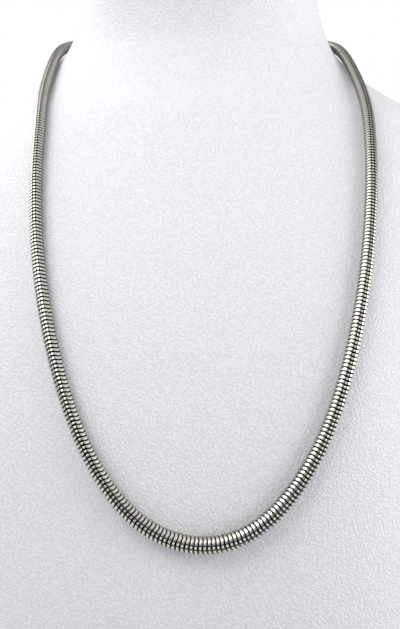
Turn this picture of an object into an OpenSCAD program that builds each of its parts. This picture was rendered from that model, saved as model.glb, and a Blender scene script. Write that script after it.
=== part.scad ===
// Graduated round snake chain lying on a plain neck bust covered in white leatherette.
// The frame: Z is up, the chest faces -Y and X runs to the right as one faces it.
// The origin is the middle of the flat base.

/* [Bust] */
// Height from the base to the top of the neck
bust_h = 290; // [270:5:330]
// Width across the shoulders
shoulder_w = 218; // [200:2:240]
// Width of the foot of the bust
foot_w = 182; // [166:2:194]
// Width of the neck at its top
neck_w = 79; // [72:1:87]
// Depth from the front of the chest to the back
bust_d = 154; // [140:1:168]
// Radius of the rolled edge round the base
foot_edge_r = 3; // [1:0.5:5]
// Radius of the rolled edge round the top of the neck
neck_edge_r = 4; // [1:0.5:7]

/* [Chain] */
// Diameter in the middle of the front
chain_front_d = 5.4; // [4.6:0.1:6.4]
// Diameter at the ends
chain_end_d = 4.1; // [3.6:0.1:4.5]
// Length over which it thins to each side
taper_l = 44; // [30:1:70]
// Clearance between the chain and the bust
seat_gap = 0.3; // [0.25:0.05:0.6]

/* [Clasp] */
// Length of the clasp
clasp_l = 16; // [12:1:22]
// Depth of the cup that takes each end of the chain
cup_depth = 4; // [3:0.5:5]
// Wall of the cups
cup_wall = 0.7; // [0.5:0.1:1.2]
// Clearance between the chain and its cup
cup_gap = 0.3; // [0.25:0.05:0.5]
// Bevel of the rims
rim_r = 0.3; // [0.1:0.05:0.4]

/* [Hidden] */
$fn = 96;

// Sections of the bust from the base up. Height is a share of bust_h.
// Foot and neck say how far the width has gone from the shoulders' to the foot's or the neck's.
// Front, side and back are shares of bust_d: where the middle of the chest, the widest points
// and the middle of the back lie. Squareness 2 is an ellipse and more is fuller.
//   height foot  neck   front  side   back   squareness
sections = [
    [0.000, 1.00, 0.000, 0.045, 0.470, 0.875, 2.40],
    [0.100, 0.74, 0.000, 0.005, 0.500, 0.905, 2.40],
    [0.200, 0.47, 0.000, 0.000, 0.530, 0.935, 2.40],
    [0.310, 0.26, 0.000, 0.020, 0.570, 0.960, 2.40],
    [0.410, 0.10, 0.000, 0.070, 0.620, 0.980, 2.35],
    [0.500, 0.00, 0.000, 0.145, 0.670, 0.995, 2.25],
    [0.580, 0.00, 0.030, 0.240, 0.720, 1.000, 2.10],
    [0.630, 0.00, 0.120, 0.310, 0.755, 1.000, 1.95],
    [0.670, 0.00, 0.290, 0.370, 0.775, 0.995, 1.85],
    [0.700, 0.00, 0.510, 0.425, 0.780, 0.990, 1.80],
    [0.730, 0.00, 0.705, 0.465, 0.780, 0.980, 1.85],
    [0.765, 0.00, 0.845, 0.495, 0.775, 0.975, 1.95],
    [0.820, 0.00, 0.925, 0.500, 0.755, 0.960, 2.00],
    [0.900, 0.00, 0.970, 0.480, 0.720, 0.945, 2.00],
    [1.000, 0.00, 1.000, 0.435, 0.685, 0.925, 2.00]
];
FOOT = 1;
NECK = 2;
FRONT = 3;
SIDE = 4;
BACK = 5;
SQUARENESS = 6;

// Route of the chain round the bust: degrees from the middle of the front, positive towards +X,
// and height above the base on a bust of route_bust_h. The clasp lies at the back, at clasp_height.
route_bust_h = 300;
clasp_height = 238;
chain_route = [
    [-150, 237.5], [-125, 235.3], [-100, 231.6], [-83, 227.4], [-71, 222.8], [-60, 217], [-51, 211.2],
    [-43, 204.8], [-37, 198], [-33, 190], [-30, 181], [-27.5, 169.5], [-25.5, 156], [-23.5, 141],
    [-21.5, 126], [-19, 110.5], [-16, 95.3], [-13, 84], [-9.5, 74], [-5, 66], [1, 62], [6.5, 67.3],
    [10, 74], [14, 85.4], [17, 96.8], [19.5, 109.5], [22, 124.7], [24, 139], [26, 153], [28, 165],
    [30.2, 175.5], [33, 185], [36.8, 193.8], [42, 201.8], [49.2, 208.4], [57.2, 214], [65.5, 219.2],
    [74, 223.6], [84, 227.4], [100, 231.6], [125, 235.3], [150, 237.5]
];

// Share of the bust's depth that lies before the origin
front_share = 0.46;
bust_front = -bust_d * front_share;
section_sides = 72;
steps_between_sections = 3;
edge_steps = 4;
tube_rings = 80;
tube_sides = 12;
samples_per_stretch = 6;
probe = 0.05;

cup_bore_d = chain_end_d + 2 * cup_gap;
clasp_d = cup_bore_d + 2 * cup_wall;
// The clasp lies straight across the back, so its ends stand further off than its middle
clasp_z = clasp_height * bust_h / route_bust_h;
clasp_y = bust_point(180, clasp_z)[1] + seat_gap + clasp_d / 2;
// Angles where the chain leaves the neck, where it is in line with the clasp and where it ends
leave_angle = 145;
lead_in = 1.5;
meet_angle = angle_at_back(clasp_l / 2 + lead_in);
chain_end_angle = angle_at_back(clasp_l / 2 - cup_depth + cup_gap);
route = concat([[-chain_end_angle, clasp_height]], chain_route, [[chain_end_angle, clasp_height]]);

function unit(v) = v / norm(v);
function signed_power(v, p) = sign(v) * pow(abs(v), p);
function mix(a, b, t) = a + (b - a) * t;
function ease(t) = let (k = max(0, min(1, t))) k * k * (3 - 2 * k);

// Smooth value of one column of the sections at height z
function row_below(h, i = 0) = i >= len(sections) - 2 || h <= sections[i + 1][0] ? i : row_below(h, i + 1);
function row_slope(i, column) =
    let (a = sections[max(i - 1, 0)], b = sections[min(i + 1, len(sections) - 1)])
    (b[column] - a[column]) / (b[0] - a[0]);
function section_value(z, column) =
    let (
        h = z / bust_h,
        i = row_below(h),
        low = sections[i],
        high = sections[i + 1],
        span = high[0] - low[0],
        t = (h - low[0]) / span
    )
    low[column] * (1 + 2 * t) * pow(1 - t, 2) + row_slope(i, column) * span * t * pow(1 - t, 2)
    + high[column] * t * t * (3 - 2 * t) - row_slope(i + 1, column) * span * t * t * (1 - t);

// How far the rolled edges draw the surface in at height z
function edge_inset(z) =
    let (foot = foot_edge_r - z, top = z - (bust_h - neck_edge_r))
    foot > 0 ? foot_edge_r - sqrt(max(0, pow(foot_edge_r, 2) - foot * foot))
    : top > 0 ? neck_edge_r - sqrt(max(0, pow(neck_edge_r, 2) - top * top)) : 0;

// Point of the bust at an angle from the middle of the front, at height z
function bust_point(angle, z) =
    let (
        inset = edge_inset(z),
        foot = section_value(z, FOOT) * (foot_w - shoulder_w),
        neck = section_value(z, NECK) * (neck_w - shoulder_w),
        half_w = (shoulder_w + foot + neck) / 2 - inset,
        side = bust_front + bust_d * section_value(z, SIDE),
        front = side - bust_front - bust_d * section_value(z, FRONT) - inset,
        back = bust_front + bust_d * section_value(z, BACK) - inset - side,
        depth = cos(angle) > 0 ? front : back,
        p = 2 / section_value(z, SQUARENESS)
    )
    [half_w * signed_power(sin(angle), p), side - depth * signed_power(cos(angle), p), z];

function bust_normal(angle, z) =
    unit(cross(
        bust_point(angle + probe, z) - bust_point(angle - probe, z),
        bust_point(angle, z + probe) - bust_point(angle, z - probe)
    ));

// Place of the middle of a chain this thick that lies on the bust
function seat_point(angle, z, d) = bust_point(angle, z) + bust_normal(angle, z) * (d / 2 + seat_gap);

// Angle at which the chain lies this far to the side of the clasp's middle, found step by step
function angle_at_back(x, guess = 170, steps = 5) =
    steps == 0 ? guess
    : angle_at_back(x, 180 - asin(sin(guess) * x / seat_point(guess, clasp_z, chain_end_d)[0]), steps - 1);

// The route passes through its points on a smooth curve; t counts the points
function curve(a, b, c, d, t) =
    (2 * b + (c - a) * t + (2 * a - 5 * b + 4 * c - d) * t * t + (3 * b - a - 3 * c + d) * t * t * t) / 2;
function route_at(t) =
    let (last = len(route) - 1, i = max(0, min(last - 1, floor(t))))
    curve(route[max(i - 1, 0)], route[i], route[i + 1], route[min(i + 2, last)], t - i);

// Place of the chain's middle at route place t, for a chain this thick. Near the clasp the chain
// leaves the neck and runs straight into its cup.
function chain_middle(t, d) =
    let (
        place = route_at(t),
        z = place[1] * bust_h / route_bust_h,
        seat = seat_point(place[0], z, d),
        pull = ease((abs(place[0]) - leave_angle) / (meet_angle - leave_angle))
    )
    [seat[0], mix(seat[1], clasp_y, pull), mix(seat[2], clasp_z, pull)];

// Length along the chain at each sample of its route
samples = (len(route) - 1) * samples_per_stretch;
sampled = [for (k = [0:samples]) chain_middle(k / samples_per_stretch, chain_end_d)];
steps = [for (k = [1:samples]) norm(sampled[k] - sampled[k - 1])];
lengths = [for (k = 0, l = 0; k <= samples; l = l + (k < samples ? steps[k] : 0), k = k + 1) l];
place_at_length = [for (k = [0:samples]) [lengths[k], k / samples_per_stretch]];
chain_l = lengths[samples];

// The chain is thickest halfway along and thins evenly to both sides
taper_power = 1.5;
function chain_d(l) =
    chain_end_d + (chain_front_d - chain_end_d) * exp(-pow(abs(l - chain_l / 2) / taper_l, taper_power));

// One ring of the tube, square to the chain, at length l
function tube_ring(l) =
    let (
        t = lookup(l, place_at_length),
        d = chain_d(l),
        place = route_at(t),
        middle = chain_middle(t, d),
        ahead = unit(chain_middle(t + probe, d) - chain_middle(t - probe, d)),
        out = bust_normal(place[0], place[1] * bust_h / route_bust_h),
        up = unit(out - ahead * (out * ahead)),
        across = cross(ahead, up)
    )
    [
        for (k = [0:tube_sides - 1])
        let (turn = 360 * k / tube_sides)
        middle + d / 2 * (up * cos(turn) + across * sin(turn))
    ];

// Skin through rings of equally many points, closed at both ends
module skin(rings) {
    sides = len(rings[0]);
    last = len(rings) - 1;
    walls = [
        for (r = [0:last - 1], k = [0:sides - 1])
        let (a = r * sides + k, b = r * sides + (k + 1) % sides)
        each [[a, b, b + sides], [a, b + sides, a + sides]]
    ];
    first_end = [for (k = [sides - 1:-1:0]) k];
    last_end = [for (k = [0:sides - 1]) last * sides + k];
    polyhedron([for (ring = rings) each ring], concat([first_end], walls, [last_end]));
}

// The bust's own heights, closer together along its rolled edges
edge_clear = 1;
bust_heights = concat(
    [for (k = [0:edge_steps - 1]) foot_edge_r * (1 - cos(90 * k / edge_steps))],
    [foot_edge_r],
    [
        for (i = [0:len(sections) - 2], k = [0:steps_between_sections - 1])
        let (z = bust_h * mix(sections[i][0], sections[i + 1][0], k / steps_between_sections))
        if (z > foot_edge_r + edge_clear && z < bust_h - neck_edge_r - edge_clear) z
    ],
    [for (k = [0:edge_steps]) bust_h - neck_edge_r * (1 - sin(90 * k / edge_steps))]
);

module bust() {
    color("whitesmoke")
    skin([for (z = bust_heights) [for (k = [0:section_sides - 1]) bust_point(360 * k / section_sides, z)]]);
}

module snake_chain() {
    color("silver")
    skin([for (k = [0:tube_rings - 1]) tube_ring(chain_l * k / (tube_rings - 1))]);
}

// Plain barrel with a cup for the chain at each end
module clasp() {
    r = clasp_d / 2;
    bore_r = cup_bore_d / 2;
    end = clasp_l / 2;
    floor_at = end - cup_depth;
    color("silver")
    translate([0, clasp_y, clasp_z])
    rotate([0, 90, 0])
    rotate_extrude()
    polygon([
        [0, -floor_at], [bore_r, -floor_at], [bore_r, -end], [r - rim_r, -end], [r, rim_r - end],
        [r, end - rim_r], [r - rim_r, end], [bore_r, end], [bore_r, floor_at], [0, floor_at]
    ]);
}

bust();
snake_chain();
clasp();
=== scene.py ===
"""Dresses a graduated round snake chain and the neck bust that it lies on.

Lengths are metres unless a name ends in _mm, and typed angles are degrees. The bust faces -Y.
"""
import math

import bmesh
import bpy
import numpy as np
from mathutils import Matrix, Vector


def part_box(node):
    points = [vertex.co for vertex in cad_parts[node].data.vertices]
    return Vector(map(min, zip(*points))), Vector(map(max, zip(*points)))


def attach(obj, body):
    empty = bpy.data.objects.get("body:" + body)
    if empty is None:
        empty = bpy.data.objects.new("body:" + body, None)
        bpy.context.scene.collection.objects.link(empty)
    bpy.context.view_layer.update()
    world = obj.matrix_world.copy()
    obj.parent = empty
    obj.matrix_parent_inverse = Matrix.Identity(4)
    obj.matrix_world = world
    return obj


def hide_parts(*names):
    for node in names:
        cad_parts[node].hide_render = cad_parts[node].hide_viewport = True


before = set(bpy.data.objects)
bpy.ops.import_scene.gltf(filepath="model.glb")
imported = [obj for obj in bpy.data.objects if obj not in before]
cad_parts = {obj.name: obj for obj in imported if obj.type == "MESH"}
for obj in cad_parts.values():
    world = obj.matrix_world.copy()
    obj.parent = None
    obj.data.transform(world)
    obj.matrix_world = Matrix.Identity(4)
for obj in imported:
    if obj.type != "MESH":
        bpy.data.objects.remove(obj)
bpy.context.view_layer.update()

MM = 0.001
# Points of a CAD mesh that lie closer than this are one point
MERGE = 0.01 * MM
# Thickness of the chain in the middle of the front
FRONT_THICKNESS_MM = 5.4

# Link: one ring of bent metal whose edge runs in four waves round the chain. Its crests are short
# pills, cut off by a crease on each side from the long bars that meet in the troughs.
# Each row of a wave: share of the wave, how far it lies below the full radius, share of the full
# width, and how dark the metal is painted from this row to the next, from 0 for bright metal to 1 for
# painted shade in the crease
LINK_PITCH_MM = 1.285
WAVES = 4
WAVE_RISE_MM = 0.28
LINK_WAVE = (
    (0.108, 0.11, 0.88, 1.0),
    (0.196, 0.00, 1.00, 0.0),
    (0.500, 0.02, 1.00, 0.0),
    (0.804, 0.00, 1.00, 1.0),
    (0.892, 0.11, 0.88, 0.0),
)
# Across a link, from the flange that slips under the link behind to the front edge: along and below
LINK_PROFILE_MM = ((-0.84, 0.70), (-0.45, 0.06), (-0.04, -0.03), (0.34, 0.02), (0.42, 0.45))
# Which of those points are sharp bends
LINK_SHARP = (0, 1, 3, 4)
# How dark the metal is painted from each of those points to the next, at its start and its end: the
# flange, the crown's two halves, the front edge and the inside. The dark is painted shade in the gaps
# between links
LINK_SHADE = ((1.0, 1.0), (0.3, 0.0), (0.0, 0.1), (0.7, 1.0), (1.0, 1.0))
# How far the crest of the waves is turned round the chain, at shares of its length
CREST_TURN = (
    (0, 0), (0.30, -3), (0.33, -7), (0.44, -3), (0.48, 6),
    (0.56, 15), (0.62, 4), (0.69, 4), (0.75, -10), (1, 0),
)


def srgb(code):
    """A hex colour as linear red, green, blue and alpha."""
    parts = [int(code[i:i + 2], 16) / 255 for i in (1, 3, 5)]
    return (*[p / 12.92 if p <= 0.04045 else ((p + 0.055) / 1.055) ** 2.4 for p in parts], 1.0)


def add_node(tree, kind, settings=None, inputs=None):
    """Adds a node. An input is a value, or the socket of another node to link from."""
    node = tree.nodes.new(kind)
    for name, value in (settings or {}).items():
        setattr(node, name, value)
    for name, value in (inputs or {}).items():
        if isinstance(value, bpy.types.NodeSocket):
            tree.links.new(value, node.inputs[name])
        else:
            node.inputs[name].default_value = value
    return node


def new_material(name):
    """A material with one Principled shader and nothing else."""
    material = bpy.data.materials.new(name)
    material.use_nodes = True
    return material, material.node_tree, material.node_tree.nodes["Principled BSDF"]


def white_leatherette():
    """PU leatherette, embossed with a fine pebble: satin, nearly white, its grain seen as soft dots."""
    pebble = 0.75 * MM
    pebble_height = 0.13 * MM
    # The most that a pebble is moved out of its place by slow noise
    wander = 0.7 * pebble
    # How far from its middle, in pebbles, a pebble's flat top ends and the valley starts
    top_ends = 0.2
    valley_starts = 0.65
    material, tree, shader = new_material("white_pu_leatherette")
    place = add_node(tree, "ShaderNodeTexCoord").outputs["Object"]
    warp = add_node(tree, "ShaderNodeTexNoise", inputs={
        "Vector": place, "Scale": 0.4 / pebble, "Detail": 1.0})
    bend = add_node(tree, "ShaderNodeVectorMath", {"operation": "MULTIPLY_ADD"}, {
        0: warp.outputs["Color"], 1: (wander,) * 3, 2: place})
    pebbles = add_node(tree, "ShaderNodeTexVoronoi", {"feature": "SMOOTH_F1"}, {
        "Vector": bend.outputs[0], "Scale": 1 / pebble, "Smoothness": 0.3})
    height = add_node(tree, "ShaderNodeMapRange", inputs={
        "Value": pebbles.outputs["Distance"], "From Min": top_ends, "From Max": valley_starts,
        "To Min": 1.0, "To Max": 0.0})
    bump = add_node(tree, "ShaderNodeBump", inputs={
        "Strength": 0.9, "Distance": pebble_height, "Height": height.outputs[0]})
    # The valleys between the pebbles are painted darker than their tops: painted shade in the grain's
    # hollows
    tint = add_node(tree, "ShaderNodeMix", {"data_type": "RGBA"}, {
        "Factor": height.outputs[0], "A": srgb("#d6d5d9"), "B": srgb("#e6e5e8")})
    tree.links.new(tint.outputs["Result"], shader.inputs["Base Color"])
    tree.links.new(bump.outputs[0], shader.inputs["Normal"])
    shader.inputs["Roughness"].default_value = 0.55
    shader.inputs["IOR"].default_value = 1.5
    return material


def tumbled_link_steel():
    """Rhodium-plated steel, tumbled: the crowns shine softly, and the grooves and creases are rougher
    and painted dark, as painted shade.
    """
    crown_roughness = 0.29
    groove_roughness = 0.45
    material, tree, shader = new_material("tumbled_plated_steel_links")
    painted_groove_shade = add_node(tree, "ShaderNodeAttribute", {"attribute_name": "painted_groove_shade"})
    # The grooves and creases are painted near black: painted shade between the links
    tint = add_node(tree, "ShaderNodeMix", {"data_type": "RGBA"}, {
        "Factor": painted_groove_shade.outputs["Fac"], "A": srgb("#e8e5d9"), "B": srgb("#1f1c15")})
    rough = add_node(tree, "ShaderNodeMapRange", inputs={
        "Value": painted_groove_shade.outputs["Fac"], "To Min": crown_roughness, "To Max": groove_roughness})
    tree.links.new(tint.outputs["Result"], shader.inputs["Base Color"])
    tree.links.new(rough.outputs[0], shader.inputs["Roughness"])
    shader.inputs["Metallic"].default_value = 1.0
    return material


def turned_clasp_steel():
    """The same plated steel, turned and then polished: bright, with a trace of tool marks round it."""
    mark_spacing = 0.4 * MM
    mark_depth = 0.02 * MM
    # A wave texture goes through this many radians over a length of 1 at scale 1
    wave_radians = 20
    material, tree, shader = new_material("turned_plated_steel_clasp")
    place = add_node(tree, "ShaderNodeTexCoord").outputs["Object"]
    marks = add_node(tree, "ShaderNodeTexWave", {"wave_type": "BANDS", "bands_direction": "X"}, {
        "Vector": place, "Scale": 2 * math.pi / (wave_radians * mark_spacing), "Distortion": 1.0,
        "Detail": 2.0})
    bump = add_node(tree, "ShaderNodeBump", inputs={
        "Strength": 0.45, "Distance": mark_depth, "Height": marks.outputs["Fac"]})
    tree.links.new(bump.outputs[0], shader.inputs["Normal"])
    shader.inputs["Base Color"].default_value = srgb("#ecebe5")
    shader.inputs["Metallic"].default_value = 1.0
    shader.inputs["Roughness"].default_value = 0.2
    return material


def new_piece(name, mesh):
    """An object of its own for a mesh that is in place already."""
    piece = bpy.data.objects.new(name, mesh)
    bpy.context.scene.collection.objects.link(piece)
    return piece


def merged_copy(node):
    """A CAD node's mesh as a bmesh with its loose triangles joined."""
    shape = bmesh.new()
    shape.from_mesh(node.data)
    bmesh.ops.remove_doubles(shape, verts=shape.verts, dist=MERGE)
    return shape


def plain_mesh(piece):
    """Turns a piece's modifiers into its mesh."""
    evaluated = piece.evaluated_get(bpy.context.evaluated_depsgraph_get())
    mesh = bpy.data.meshes.new_from_object(evaluated)
    piece.modifiers.clear()
    piece.data = mesh


def positions(mesh):
    """The places of a mesh's points, one row for each."""
    places = np.empty(len(mesh.vertices) * 3, np.float32)
    mesh.vertices.foreach_get("co", places)
    return places.reshape(-1, 3)


def bust_cover(material):
    """The leatherette over the bust: the CAD form in four-sided faces, subdivided to a smooth skin."""
    # Two triangles become one face up to this fold between them and this skew of its corners
    most_fold = math.radians(40)
    most_skew = math.radians(60)
    levels = 1
    shape = merged_copy(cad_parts["bust"])
    bmesh.ops.join_triangles(
        shape, faces=shape.faces, angle_face_threshold=most_fold, angle_shape_threshold=most_skew)
    for face in shape.faces:
        face.smooth = True
    cage = bpy.data.meshes.new("bust_cover")
    shape.to_mesh(cage)
    shape.free()
    piece = new_piece("bust_cover", cage)
    finer = piece.modifiers.new("finer", "SUBSURF")
    finer.levels = levels
    finer.render_levels = levels
    # Subdividing draws the points inwards. So the cage goes outwards by as much beforehand, which
    # brings the skin back to the CAD form's own points
    wanted = positions(cage)
    evaluated = piece.evaluated_get(bpy.context.evaluated_depsgraph_get())
    pulled_in = positions(evaluated.data)[:len(wanted)]
    cage.vertices.foreach_set("co", (2 * wanted - pulled_in).ravel())
    cage.update()
    plain_mesh(piece)
    piece.data.materials.clear()
    piece.data.materials.append(material)
    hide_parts("bust")
    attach(piece, "root")


def chain_rings():
    """Middle and thickness of each ring of the CAD tube, in order from the end at the clasp's left."""
    shape = merged_copy(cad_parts["snake_chain"])
    shape.verts.index_update()
    low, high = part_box("clasp")
    middle = (low + high) / 2
    # Points round the CAD tube
    sides = 12
    left = [v for v in shape.verts if v.co.x < middle.x]
    ring = sorted(left, key=lambda v: (v.co - middle).length)[:sides]
    seen = set()
    rings = []
    while ring:
        seen.update(ring)
        centre = sum((v.co for v in ring), Vector()) / len(ring)
        rings.append((centre, 2 * sum((v.co - centre).length for v in ring) / len(ring)))
        following = {e.other_vert(v) for v in ring for e in v.link_edges}
        # In a fixed order, because a sum's last digit depends on it
        ring = sorted(following - seen, key=lambda v: v.index)
    shape.free()
    return rings


def evened(places, passes=6, held=3):
    """A line without its small kinks. Its larger bends stay, and so do the points held at each end."""
    # Each pull takes points towards the middle of their neighbours, and each push, a little
    # stronger, takes them back, so that the line doesn't shrink
    pull = 0.5
    push = -0.53
    even = places.copy()
    for _ in range(passes):
        for share in (pull, push):
            between = (even[:-2] + even[2:]) / 2 - even[1:-1]
            even[held:-held] += share * between[held - 1:len(between) - held + 1]
    return even


def chain_line():
    """The chain's middle line as edges, with its thickness and the turn of its crests at each point."""
    rings = chain_rings()
    places = evened(np.array([centre for centre, _ in rings]))
    mesh = bpy.data.meshes.new("chain_line")
    mesh.from_pydata(places, [(i, i + 1) for i in range(len(rings) - 1)], [])
    turns = np.interp(np.linspace(0, 1, len(rings)), *zip(*CREST_TURN))
    values = {"thickness": [width for _, width in rings], "turn": np.radians(turns)}
    for name, value in values.items():
        mesh.attributes.new(name, "FLOAT", "POINT").data.foreach_set("value", value)
    return new_piece("chain_line", mesh)


def link_mesh():
    """One link round the Z axis, at the chain's full thickness."""
    radius = FRONT_THICKNESS_MM / 2
    shape = bmesh.new()
    painted_groove_shade = shape.loops.layers.float.new("painted_groove_shade")
    columns = []
    for wave in range(WAVES):
        for share, dip, width, dark in LINK_WAVE:
            turn = 2 * math.pi * (wave + share) / WAVES
            rise = WAVE_RISE_MM * (1 - math.cos(2 * math.pi * share)) / 2
            column = []
            for along, below in LINK_PROFILE_MM:
                reach = (radius - below - dip) * MM
                z = (along * width + rise) * MM
                column.append(shape.verts.new((reach * math.cos(turn), reach * math.sin(turn), z)))
            columns.append((column, dark))
    points = len(LINK_PROFILE_MM)
    for (here, dark), (there, _) in zip(columns, columns[1:] + columns[:1]):
        for k, (shade, shade_after) in enumerate(LINK_SHADE):
            after = (k + 1) % points
            face = shape.faces.new((here[k], there[k], there[after], here[after]))
            face.smooth = True
            # Each corner keeps how dark it is painted: painted shade in the creases and the gaps
            # between links
            for corner in face.loops:
                at_start = corner.vert in (here[k], there[k])
                corner[painted_groove_shade] = max(dark, shade if at_start else shade_after)
        for k in LINK_SHARP:
            shape.edges.get((here[k], there[k])).smooth = False
    mesh = bpy.data.meshes.new("link")
    bmesh.ops.recalc_face_normals(shape, faces=shape.faces)
    shape.to_mesh(mesh)
    shape.free()
    return mesh


def link_tree():
    """Geometry nodes that set links of one pitch along a line, turned and sized by its own values."""
    tree = bpy.data.node_groups.new("snake_chain_links", "GeometryNodeTree")
    sockets = {
        "Geometry": "Geometry", "Link": "Object", "Pitch": "Float", "Made for thickness": "Float",
        "Clear at start": "Float", "Clear at end": "Float", "Looseness": "Float", "Seed": "Int",
        "Material": "Material"}
    for name, kind in sockets.items():
        tree.interface.new_socket(name, in_out="INPUT", socket_type="NodeSocket" + kind)
    tree.interface.new_socket("Geometry", in_out="OUTPUT", socket_type="NodeSocketGeometry")
    given = add_node(tree, "NodeGroupInput").outputs
    line = add_node(tree, "GeometryNodeMeshToCurve", inputs={"Mesh": given["Geometry"]})
    smooth = add_node(tree, "GeometryNodeCurveSplineType", {"spline_type": "CATMULL_ROM"}, {
        "Curve": line.outputs[0]})
    length = add_node(tree, "GeometryNodeCurveLength", inputs={"Curve": smooth.outputs[0]})
    end = add_node(tree, "ShaderNodeMath", {"operation": "SUBTRACT"}, {
        0: length.outputs[0], 1: given["Clear at end"]})
    # Inputs 4 and 5 are the start and the end as lengths, where 2 and 3 are shares
    trimmed = add_node(tree, "GeometryNodeTrimCurve", {"mode": "LENGTH"}, {
        "Curve": smooth.outputs[0], 4: given["Clear at start"], 5: end.outputs[0]})
    places = add_node(tree, "GeometryNodeCurveToPoints", {"mode": "LENGTH"}, {
        "Curve": trimmed.outputs[0], "Length": given["Pitch"]})
    width = add_node(tree, "GeometryNodeInputNamedAttribute", {"data_type": "FLOAT"}, {
        "Name": "thickness"})
    turn = add_node(tree, "GeometryNodeInputNamedAttribute", {"data_type": "FLOAT"}, {"Name": "turn"})
    back = add_node(tree, "ShaderNodeMath", {"operation": "MULTIPLY"}, {
        0: given["Looseness"], 1: -1.0})
    # Inputs 2 and 3 and output 1 are those for plain numbers
    play = add_node(tree, "FunctionNodeRandomValue", {"data_type": "FLOAT"}, {
        2: back.outputs[0], 3: given["Looseness"], "Seed": given["Seed"]})
    turned = add_node(tree, "ShaderNodeMath", {"operation": "ADD"}, {
        0: turn.outputs[0], 1: play.outputs[1]})
    about = add_node(tree, "FunctionNodeAxisAngleToRotation", inputs={
        "Axis": (0.0, 0.0, 1.0), "Angle": turned.outputs[0]})
    facing = add_node(tree, "FunctionNodeRotateRotation", {"rotation_space": "LOCAL"}, {
        "Rotation": places.outputs["Rotation"], "Rotate By": about.outputs[0]})
    size = add_node(tree, "ShaderNodeMath", {"operation": "DIVIDE"}, {
        0: width.outputs[0], 1: given["Made for thickness"]})
    scale = add_node(tree, "ShaderNodeCombineXYZ", inputs={
        "X": size.outputs[0], "Y": size.outputs[0], "Z": 1.0})
    shape = add_node(tree, "GeometryNodeObjectInfo", inputs={"Object": given["Link"]})
    links = add_node(tree, "GeometryNodeInstanceOnPoints", inputs={
        "Points": places.outputs["Points"], "Instance": shape.outputs["Geometry"],
        "Rotation": facing.outputs[0], "Scale": scale.outputs[0]})
    real = add_node(tree, "GeometryNodeRealizeInstances", inputs={"Geometry": links.outputs[0]})
    coated = add_node(tree, "GeometryNodeSetMaterial", inputs={
        "Geometry": real.outputs[0], "Material": given["Material"]})
    add_node(tree, "NodeGroupOutput", inputs={"Geometry": coated.outputs[0]})
    return tree


def set_inputs(modifier, values):
    """Sets a geometry nodes modifier's inputs, named as the tree names them."""
    for item in modifier.node_group.interface.items_tree:
        if item.in_out == "INPUT" and item.name in values:
            modifier[item.identifier] = values[item.name]


def snake_chain(material):
    """The links of the chain along the line of the CAD tube."""
    # Each link is turned at random by up to this much to either side, as it hangs loosely in line
    looseness = math.radians(1.5)
    seed = 7
    piece = chain_line()
    link = new_piece("link", link_mesh())
    modifier = piece.modifiers.new("links", "NODES")
    modifier.node_group = link_tree()
    set_inputs(modifier, {
        "Link": link, "Pitch": LINK_PITCH_MM * MM, "Made for thickness": FRONT_THICKNESS_MM * MM,
        "Clear at start": -LINK_PROFILE_MM[0][0] * MM,
        "Clear at end": (LINK_PROFILE_MM[-1][0] + WAVE_RISE_MM) * MM,
        "Looseness": looseness, "Seed": seed, "Material": material})
    plain_mesh(piece)
    bpy.data.objects.remove(link)
    piece.name = "snake_chain_links"
    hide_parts("snake_chain")
    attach(piece, "root")


def dress_clasp(material):
    """The clasp keeps its CAD form and gets its finish."""
    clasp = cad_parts["clasp"]
    clasp.data.materials.clear()
    clasp.data.materials.append(material)


def pale_floor():
    """The table that the bust stands on."""
    bpy.ops.mesh.primitive_circle_add(vertices=96, radius=0.7, fill_type="NGON")
    floor = bpy.context.object
    floor.name = "floor"
    material, _, shader = new_material("pale_floor")
    shader.inputs["Base Color"].default_value = srgb("#cbcbce")
    shader.inputs["Roughness"].default_value = 0.8
    floor.data.materials.append(material)


def near(tree, direction, middle, outer, inner):
    """How near a direction is to a middle one: 0 beyond the outer angle, rising to 1 at the inner."""
    facing = add_node(tree, "ShaderNodeVectorMath", {"operation": "DOT_PRODUCT"}, {
        0: direction, 1: middle})
    share = add_node(tree, "ShaderNodeMapRange", {"interpolation_type": "SMOOTHSTEP"}, {
        "Value": facing.outputs["Value"], "From Min": math.cos(math.radians(outer)),
        "From Max": math.cos(math.radians(inner))})
    return share.outputs[0]


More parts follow.
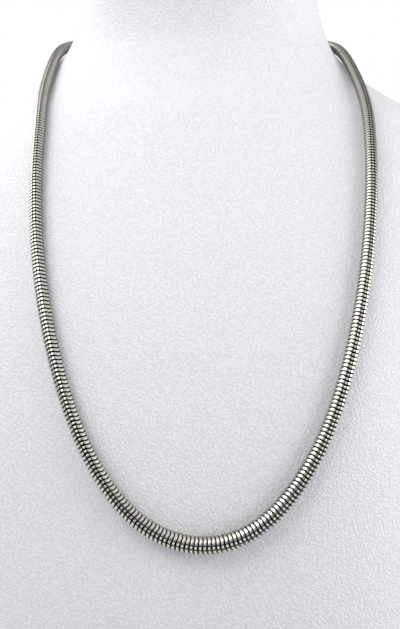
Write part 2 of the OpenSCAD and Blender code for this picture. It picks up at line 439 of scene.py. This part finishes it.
def soft_surroundings():
    """A pale grey tent round the object, lighter behind than in front, where it has a dark opening.

    It is plain white to the camera, as an overexposed backdrop is.
    """
    world = bpy.data.worlds.new("pale_tent")
    bpy.context.scene.world = world
    world.use_nodes = True
    tree = world.node_tree
    tree.nodes.clear()
    direction = add_node(tree, "ShaderNodeTexCoord").outputs["Generated"]
    front = Vector((0.0, -1.0, 0.0))
    opening = Vector((-0.05, -1.0, -0.50)).normalized()
    tent = add_node(tree, "ShaderNodeMix", {"data_type": "RGBA"}, {
        "Factor": near(tree, direction, front, outer=120, inner=85),
        "A": srgb("#b8b8ba"), "B": srgb("#9b9c9e")})
    seen = add_node(tree, "ShaderNodeMix", {"data_type": "RGBA"}, {
        "Factor": near(tree, direction, opening, outer=38, inner=18),
        "A": tent.outputs["Result"], "B": srgb("#161512")})
    camera_ray = add_node(tree, "ShaderNodeLightPath").outputs["Is Camera Ray"]
    colour = add_node(tree, "ShaderNodeMix", {"data_type": "RGBA"}, {
        "Factor": camera_ray, "A": seen.outputs["Result"], "B": srgb("#ffffff")})
    background = add_node(tree, "ShaderNodeBackground", inputs={
        "Color": colour.outputs["Result"], "Strength": 1.0})
    add_node(tree, "ShaderNodeOutputWorld", inputs={"Surface": background.outputs[0]})


def soft_light(name, azimuth, elevation, width, height, power):
    """A soft box that faces the chain. Azimuth 0 is in front of the chest and 90 is on its +X side."""
    distance = 0.9
    aim = Vector((0.0, 0.0, 0.17))
    across = math.radians(azimuth)
    up = math.radians(elevation)
    towards = Vector((
        math.sin(across) * math.cos(up), -math.cos(across) * math.cos(up), math.sin(up)))
    data = bpy.data.lights.new(name, "AREA")
    data.shape = "RECTANGLE"
    data.size = width
    data.size_y = height
    data.energy = power
    light = bpy.data.objects.new(name, data)
    light.location = aim + distance * towards
    light.rotation_euler = towards.to_track_quat("Z", "Y").to_euler()
    bpy.context.scene.collection.objects.link(light)


def camera_at_photo():
    """The photograph's own viewpoint: straight on, level with the chest and pitched down a little."""
    focal_px = 1200
    long_side_px = 629
    pitched_down = 3
    data = bpy.data.cameras.new("camera")
    data.sensor_width = 36
    data.lens = focal_px / long_side_px * data.sensor_width
    camera = bpy.data.objects.new("camera", data)
    camera.location = (-0.14 * MM, -417.8 * MM, 145.2 * MM)
    camera.rotation_euler = (math.radians(90 - pitched_down), 0, 0)
    bpy.context.scene.collection.objects.link(camera)
    bpy.context.scene.camera = camera


bust_cover(white_leatherette())
snake_chain(tumbled_link_steel())
dress_clasp(turned_clasp_steel())

pale_floor()
soft_surroundings()
# Each box by its azimuth, elevation, width, height and power
soft_light("left_box", -50, 38, 0.8, 0.7, 6.0)
soft_light("right_box", 78, 8, 1.0, 0.5, 7.4)
soft_light("top_box", 0, 66, 1.4, 0.8, 2.2)
soft_light("left_back_box", -122, 36, 0.7, 0.7, 4.4)
camera_at_photo()
bpy.context.scene.view_settings.view_transform = "Standard"
